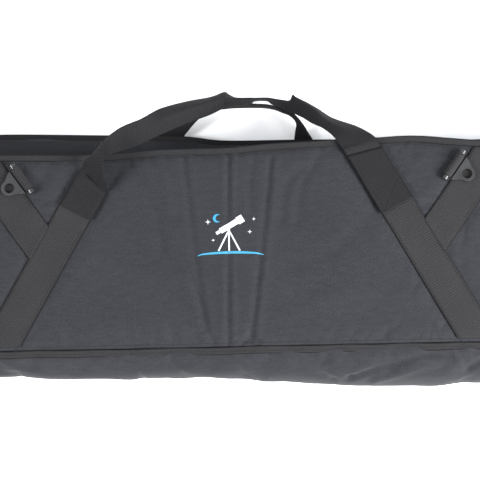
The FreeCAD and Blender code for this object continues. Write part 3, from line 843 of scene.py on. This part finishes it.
def zip_run(out, low_z, high_z, step):
    """The zip's U-shaped path, as a grid between two heights."""
    reach, face, corner = 589.1 + out, 93.1 + out, 3
    left = [(-reach, -111.7), (-reach, face - corner), (-reach + corner, face)]
    right = [(reach - corner, face), (reach, face - corner), (reach, -111.7)]
    path = left + right
    low = [(x, y, low_z) for x, y in path]
    high = [(x, y, high_z) for x, y in path]
    return loop_edges(low, high, step)


def make_zip():
    """Two woven tapes and two coils with separate turns."""
    middle_z, pitch, step = 50, 1.9, 0.5
    for side, sign in (("lid", 1), ("case", -1)):
        low, high = zip_run(0.6, middle_z + sign * 0.4, middle_z + sign * 7.7, 6)
        tape = ribbon(f"zip_tape_{side}_woven", between(low, high, 7), 0.9, [ZIP_TAPE])
        finish_piece(tape, side, "zip_tape", f"zip_tape_{side}")
        low, high = zip_run(2.2, middle_z + sign * 0.25, middle_z + sign * 2.75, step)
        run = np.arange(len(low)) * step
        thick = 1.55 + 0.5 * np.cos(2 * math.pi * run / pitch + (math.pi if sign > 0 else 0))
        coil = ribbon(f"zip_coil_{side}_turns", between(low, high, 5), thick, [COIL], soft_edge=0.6)
        finish_piece(coil, side, "zip_coil", f"zip_coil_{side}")


# ---------------- webbing


def leaning_line(top, lean, side, y):
    """X of a mirrored strap's middle line at Y."""
    return side * (top[0] + math.tan(lean) * (y - top[1]))


def strap_axes(side, lean):
    """The directions along and across a mirrored strap."""
    return np.array([[side * math.sin(lean), math.cos(lean), 0], [math.cos(lean), -side * math.sin(lean), 0]])


def laid_strap(name, side, top, lean, low_y, high_y, inner_cut=None, thick=1.9):
    """A flat strap that lies on the front panel, following its dips."""
    columns, row_step, gap = 13, 2.5, 0.3
    half = WEB / 2 / math.cos(lean)
    rows = int((high_y - low_y) / row_step)
    grid = np.zeros((rows, columns, 3))
    for j, share in enumerate(np.linspace(-1, 1, columns)):
        start = low_y if inner_cut is None else inner_cut(share * half)
        y = np.linspace(start, high_y, rows)
        grid[:, j, 0] = side * (top[0] + math.tan(lean) * (y - top[1]) + share * half)
        grid[:, j, 1] = y
    height = ground.heights(grid[..., 0], grid[..., 1])
    level = height.mean(axis=1, keepdims=True)
    height = np.maximum(0.5 * height + 0.5 * level, height - 0.15)
    window = np.ones(5) / 5
    longer = np.pad(height, ((2, 2), (0, 0)), mode="edge")
    height = np.stack([np.convolve(longer[:, j], window, "valid") for j in range(columns)], axis=1)
    grid[..., 2] = height + thick / 2 + gap
    piece = ribbon(name, grid, thick, [WEBBING], strap_axes(side, lean))
    ground.add(piece)
    return smoother(piece)


def make_front_straps():
    """The V of straps on the lid, and the side straps that branch off to the mouth."""
    main_half = WEB / 2 / math.cos(LEAN)
    closing = math.tan(SIDE_LEAN) + math.tan(LEAN)

    def branch(offset):
        gap = STRAP_TOP[0] + math.tan(LEAN) * STRAP_TOP[1] + main_half - 3
        return (gap - SIDE_TOP[0] + math.tan(SIDE_LEAN) * SIDE_TOP[1] - offset) / closing

    for name, side in SIDES:
        strap = laid_strap(f"front_strap_{name}_webbing", side, STRAP_TOP, -LEAN, -157.5, STRAP_END_Y[name])
        finish_piece(strap, "lid", "webbing", f"front_strap_{name}")
        top_y = float(profile(MOUTH_Y, side * SIDE_TOP[0])) + 0.5
        strap = laid_strap(f"side_strap_{name}_webbing", side, SIDE_TOP, SIDE_LEAN, 0, top_y, branch, 1.5)
        finish_piece(strap, "lid", "webbing", f"side_strap_{name}")


def make_back_straps():
    """The straps on the underside, which the case rests on."""
    half = WEB / 2 / math.cos(LEAN)
    y = np.linspace(-131, 150, 60)
    z = np.full_like(y, 1.0)
    for name, side in SIDES:
        middle = side * (103 - math.tan(LEAN) * (y - 162.8))
        low = np.stack([middle - half, y, z], axis=1)
        high = np.stack([middle + half, y, z], axis=1)
        directions = strap_axes(side, -LEAN)
        strap = ribbon(f"back_strap_{name}_webbing", between(low, high, 9), 1.8, [WEBBING], directions)
        finish_piece(strap, "case", "webbing", f"back_strap_{name}")


def handle_grid(stations, rows):
    """The webbing of a handle from its three rails, rounded over at the ridge."""
    flat = [np.concatenate(rails) for rails in stations]
    line = curve(flat, rows, slice(3, 6))
    low, ridge, high = line[:, None, 0:3], line[:, None, 3:6], line[:, None, 6:9]
    v = np.linspace(-1, 1, 21)[None, :, None]
    grid = ridge + (high - low) / 2 * v + ((high + low) / 2 - ridge) * np.abs(v) ** 1.35
    for ends, width, rise in HANDLE_CREASES:
        grid[..., 2] += crease(grid[..., 0], grid[..., 1], ends, width, rise)
    return grid


def ribs_along(grid):
    """The thickness of webbing at each row, with its cross ribs."""
    thick, rib, rise = 1.8, 3.6, 0.2
    middle = grid[:, grid.shape[1] // 2]
    run = np.concatenate([[0], np.cumsum(np.linalg.norm(np.diff(middle, axis=0), axis=1))])
    return thick + rise * np.cos(run / rib * 2 * math.pi)


def handle_piece(name, stations, rows, *nodes):
    """The webbing of one handle, in place of its CAD nodes."""
    grid = handle_grid(stations, rows)
    piece = ribbon(name, grid, ribs_along(grid), [SHADED_HANDLE_WEBBING])
    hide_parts(*nodes)
    return piece


def make_handles():
    """The two carry handles. Each bends between its stitched ends and its grip."""
    nodes = ("front_handle", "front_handle_end_left", "front_handle_end_right")
    front = handle_piece("front_handle_webbing", FRONT_HANDLE, 900, *nodes)
    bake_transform(front)
    ground.add(front)
    back = handle_piece("back_handle_webbing", BACK_HANDLE, 460, "back_handle")
    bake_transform(back)


def make_ring_tabs():
    """The webbing tabs that loop round the rings' bars, and the rings' own finish."""
    half = 19.6
    loop = [(-6.9, 100.9), (-3, 100.75), (1.6, 101.0), (4.4, 103.0), (5.2, 106.1), (4.2, 109.2), (1, 111.1),
            (-2.6, 110.2), (-4.9, 107.2), (-6.0, 104.2), (-6.9, 102.6)]
    path = curve(loop, 40)
    for name, ((x, y), turn) in RINGS.items():
        angle = math.radians(turn)
        across = np.array([math.cos(angle), math.sin(angle), 0])
        along = np.array([-math.sin(angle), math.cos(angle), 0])
        middle = np.array([[x, y, 0] + along * a + np.array([0, 0, z]) for a, z in path])
        grid = between(middle - across * half, middle + across * half, 11)
        tab = ribbon(f"ring_tab_{name}_webbing", grid, 1.3, [TAB_WEBBING])
        finish_piece(smoother(tab), "lid", "webbing", f"ring_tab_{name}")
        refinished(f"ring_{name}", ACETAL, 0.7, 3)


def make_zip_metal():
    """Finish for the sliders and pulls that come from CAD."""
    for side in ("left", "right"):
        refinished(f"zip_slider_{side}", ENAMEL, 0.4)
        refinished(f"zip_pull_{side}", ENAMEL, 0.35)


# ---------------- stitches and emblem


def stitch_row(line):
    """The places of stitches along a line: a middle and a direction for each."""
    line = np.asarray(line, float)
    length = np.linalg.norm(np.diff(line, axis=0), axis=1).sum()
    points = evenly(line, max(int(length / STITCH_PITCH), 2))
    heading = np.gradient(points, axis=0)
    heading /= np.maximum(np.linalg.norm(heading, axis=1, keepdims=True), 1e-9)
    return list(zip(points, heading))


def stitched(name, rows, body, lift=0.1):
    """Many short threads as one piece, laid on what is under them. One with nothing under it is left out."""
    around = 6
    angles = np.linspace(0, 2 * math.pi, around, endpoint=False)
    rings = [(-0.5, 0.2), (-0.3, 0.42), (0.3, 0.42), (0.5, 0.2)]
    points, faces = [], []
    for (x, y), heading in rows:
        z = ground.height(x, y)
        if z is None:
            continue
        forward = np.array([*heading, 0.0])
        side = np.cross(forward, (0, 0, 1.0))
        up = np.cross(side, forward)
        start = len(points)
        for share, radius in rings:
            centre = np.array([x, y, z + lift]) + forward * (share * STITCH)
            for angle in angles:
                points.append(centre + side * (radius * math.cos(angle)) + up * (radius * math.sin(angle)))
        last = len(points) - around
        for ring in range(start, last, around):
            for k in range(around):
                a, b = ring + k, ring + (k + 1) % around
                faces.append((a, a + around, b + around, b))
        faces.append(tuple(range(start, start + around)))
        faces.append(tuple(reversed(range(last, last + around))))
    mesh = bpy.data.meshes.new(name)
    mesh.from_pydata((np.array(points) * MM).tolist(), [], faces)
    mesh.polygons.foreach_set("use_smooth", np.ones(len(faces), bool))
    mesh.materials.append(THREAD)
    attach(linked(name, mesh), body)


def along_the_case(y):
    """Stitches from end to end of the case, at the Y that y gives for each X."""
    xs = np.linspace(-END_X + 4, END_X - 4, 200)
    return stitch_row(np.stack([xs, y(xs)], axis=1))


def along_a_strap(side, top, lean, low_y, high_y, count):
    """Stitches near both selvages of a mirrored strap."""
    inset = 21.5
    across = strap_axes(side, lean)[1, :2]
    ys = np.linspace(low_y, high_y, count)
    middle = np.stack([leaning_line(top, lean, side, ys), ys], axis=1)
    return stitch_row(middle - across * inset) + stitch_row(middle + across * inset)


def box_with_cross(middle, along, across, half_long, half_wide):
    """A stitched box with its two diagonals."""
    signs = ((-1, -1), (1, -1), (1, 1), (-1, 1))
    a, b, c, d = (middle + along * i * half_long + across * j * half_wide for i, j in signs)
    lines = [(a, b), (b, c), (c, d), (d, a), (a, c), (b, d)]
    return [stitch for line in lines for stitch in stitch_row(np.array(line))]


def make_stitches():
    """Stitch lines on the bindings, straps and handle ends."""
    seam_rows = along_the_case(lambda x: profile(MOUTH_Y, x) + 1.2)
    seam_rows += along_the_case(lambda x: profile(MOUTH_Y, x) - 3.5)
    seam_rows += along_the_case(lambda x: np.full_like(x, -158.0))
    stitched("panel_stitches", seam_rows, "lid")
    stitched("hinge_stitches", along_the_case(lambda x: np.full_like(x, -169.0)), "case")

    strap_rows, end_rows = [], []
    for _, side in SIDES:
        strap_rows += along_a_strap(side, STRAP_TOP, -LEAN, -156, 14, 80)
        strap_rows += along_a_strap(side, SIDE_TOP, SIDE_LEAN, 24, 98, 40)
        end_rows += box_with_cross(np.array([side * 217.0, 44.0]), *strap_axes(side, -LEAN)[:, :2], 15, 19)
    stitched("strap_stitches", strap_rows, "lid")
    stitched("handle_end_stitches", end_rows, "lid", lift=0.15)


def bar(length, width, x, y, turn):
    """A turned rectangle as a list of corners."""
    c, s = math.cos(math.radians(turn)), math.sin(math.radians(turn))
    reach, half = length / 2, width / 2
    corners = [(-reach, -half), (reach, -half), (reach, half), (-reach, half)]
    return [(x + a * c - b * s, y + a * s + b * c) for a, b in corners]


def star(x, y, radius):
    """A four-pointed star."""
    tips = [(math.radians(45 * k), radius if k % 2 == 0 else radius * 0.3) for k in range(8)]
    return [(x + r * math.cos(a), y + r * math.sin(a)) for a, r in tips]


def arc(x, y, wide, high, start, end, count):
    """Points on an ellipse between two angles."""
    return [(x + wide * math.cos(a), y + high * math.sin(a)) for a in np.linspace(start, end, count)]


def crescent(x, y, radius):
    """A moon's crescent."""
    bite = radius * 0.78
    return arc(x, y, radius, radius, 0.9, 5.4, 22) + arc(x + radius * 0.42, y, bite, bite, 5.0, 1.3, 18)


def printed(name, shapes, material):
    """Flat printed shapes laid on the front panel, each a thin closed piece."""
    longest, proud, sunk = 3, 0.35, -0.1
    made = bmesh.new()
    for shape in shapes:
        corners = [made.verts.new((EMBLEM[0] + x, EMBLEM[1] + y, 0)) for x, y in shape]
        made.faces.new(corners)
    bmesh.ops.triangulate(made, faces=made.faces[:])
    for _ in range(3):
        long_edges = [edge for edge in made.edges if edge.calc_length() > longest]
        bmesh.ops.subdivide_edges(made, edges=long_edges, cuts=1)
        bmesh.ops.triangulate(made, faces=made.faces[:])
    top = made.faces[:]
    bmesh.ops.recalc_face_normals(made, faces=top)
    if top[0].normal.z < 0:
        bmesh.ops.reverse_faces(made, faces=top)
    extruded = bmesh.ops.extrude_face_region(made, geom=top)
    raised = {element for element in extruded["geom"] if isinstance(element, bmesh.types.BMVert)}
    for vertex in made.verts:
        lift = proud if vertex in raised else sunk
        vertex.co.z = ground.height(vertex.co.x, vertex.co.y) + lift
    bmesh.ops.recalc_face_normals(made, faces=made.faces[:])
    layer = made.loops.layers.uv.new("cloth")
    for face in made.faces:
        for corner in face.loops:
            corner[layer].uv = (corner.vert.co.x * MM, corner.vert.co.y * MM)
    for vertex in made.verts:
        vertex.co = vertex.co * MM
    mesh = bpy.data.meshes.new(name)
    made.to_mesh(mesh)
    made.free()
    mesh.materials.append(material)
    finish_piece(linked(name, mesh), "lid", "print_ink", "front_print")


def make_emblem():
    """A plain emblem: a telescope on its stand with a blue moon and a few stars, over a blue horizon."""
    white = [
        bar(30, 8, -1, 21, 30), bar(9, 11, 14, 29.6, 30), bar(6, 4.5, -17, 11.8, 30),
        bar(3.4, 8, -2, 14, 0),
        bar(30, 2.2, -10, -1, 63), bar(30, 2.2, 6, -1, -63), bar(27, 2.2, -2, -1, 90),
        star(-31, 27, 4), star(27, 12, 3.2), star(-24, 1, 2.6), star(33, 30, 2.8),
    ]
    hill = arc(0, -21, 46, 6, 0, math.pi, 28) + arc(0, -21, 44, 2.6, math.pi, 0, 28)
    blue = [hill, crescent(-18, 32, 6)]
    printed("emblem_white", white, WHITE_INK)
    printed("emblem_blue", blue, BLUE_INK)


# ---------------- room, light and camera


def make_floor():
    """A wide plain floor that curves up far behind the case."""
    rows = [(-6000, 0), (5000, 0), (6000, 120), (6800, 700), (7200, 2400)]
    count = 60
    line = curve(rows, count)
    low = np.stack([np.full(count, -6000.0), line[:, 0], line[:, 1]], axis=1)
    high = low * np.array([-1, 1, 1])
    points = between(low, high, 3).reshape(-1, 3)
    faces = grid_faces(count, 3)[:, ::-1]
    floor = build("floor", points, faces, np.zeros((len(points), 2)), [floor_paper()], np.zeros(len(faces)))


def area_light(name, place, aim, wide, power, colour=(1, 1, 1)):
    """A soft box at a place, pointing at another."""
    light = bpy.data.lights.new(name, "AREA")
    light.shape = "SQUARE"
    light.size = wide * MM
    light.energy = power
    light.color = colour
    lamp = linked(name, light)
    lamp.location = Vector(place) * MM
    lamp.rotation_mode = "QUATERNION"
    lamp.rotation_quaternion = (Vector(aim) - Vector(place)).to_track_quat("-Z", "Y")


def make_light():
    """Even white surroundings, a key on the right, a weaker light on the left and a bluish one in front."""
    scene = bpy.context.scene
    scene.view_settings.view_transform = "Standard"
    world = bpy.data.worlds.new("room")
    scene.world = world
    world.use_nodes = True
    background = world.node_tree.nodes["Background"].inputs
    background["Color"].default_value = (0.93, 0.96, 1, 1)
    background["Strength"].default_value = 1.35
    area_light("key", (1900, -900, 1300), (100, -40, 60), 1100, 250)
    area_light("second", (-1900, -500, 1300), (-100, -20, 60), 600, 80)
    area_light("window", (-500, -2300, 500), (0, -200, 50), 900, 4, (0.7, 0.86, 1))


def make_camera():
    """The camera: nearly overhead, seen from below the bottom seam."""
    elevation, distance, turn = math.radians(79), 1500, math.radians(-1.15)
    aim = Vector((4.2, -15.0, 100.0))
    back = Vector((0, -math.cos(elevation), math.sin(elevation)))
    camera = bpy.data.cameras.new("camera")
    camera.lens = 81
    camera.sensor_width = 36
    camera.clip_start = 0.05
    camera.clip_end = 60
    seat = linked("camera", camera)
    seat.location = (aim + back * distance) * MM
    seat.rotation_mode = "QUATERNION"
    seat.rotation_quaternion = (-back).to_track_quat("-Z", "Y") @ Quaternion((0, 0, 1), turn)
    bpy.context.scene.camera = seat


make_camera()
make_light()
make_floor()
make_front_panel()
make_bottom_gusset()
make_strips()
make_back_panel()
make_ends()
make_bindings()
make_zip()
make_front_straps()
make_back_straps()
make_handles()
make_ring_tabs()
make_zip_metal()
make_stitches()
make_emblem()
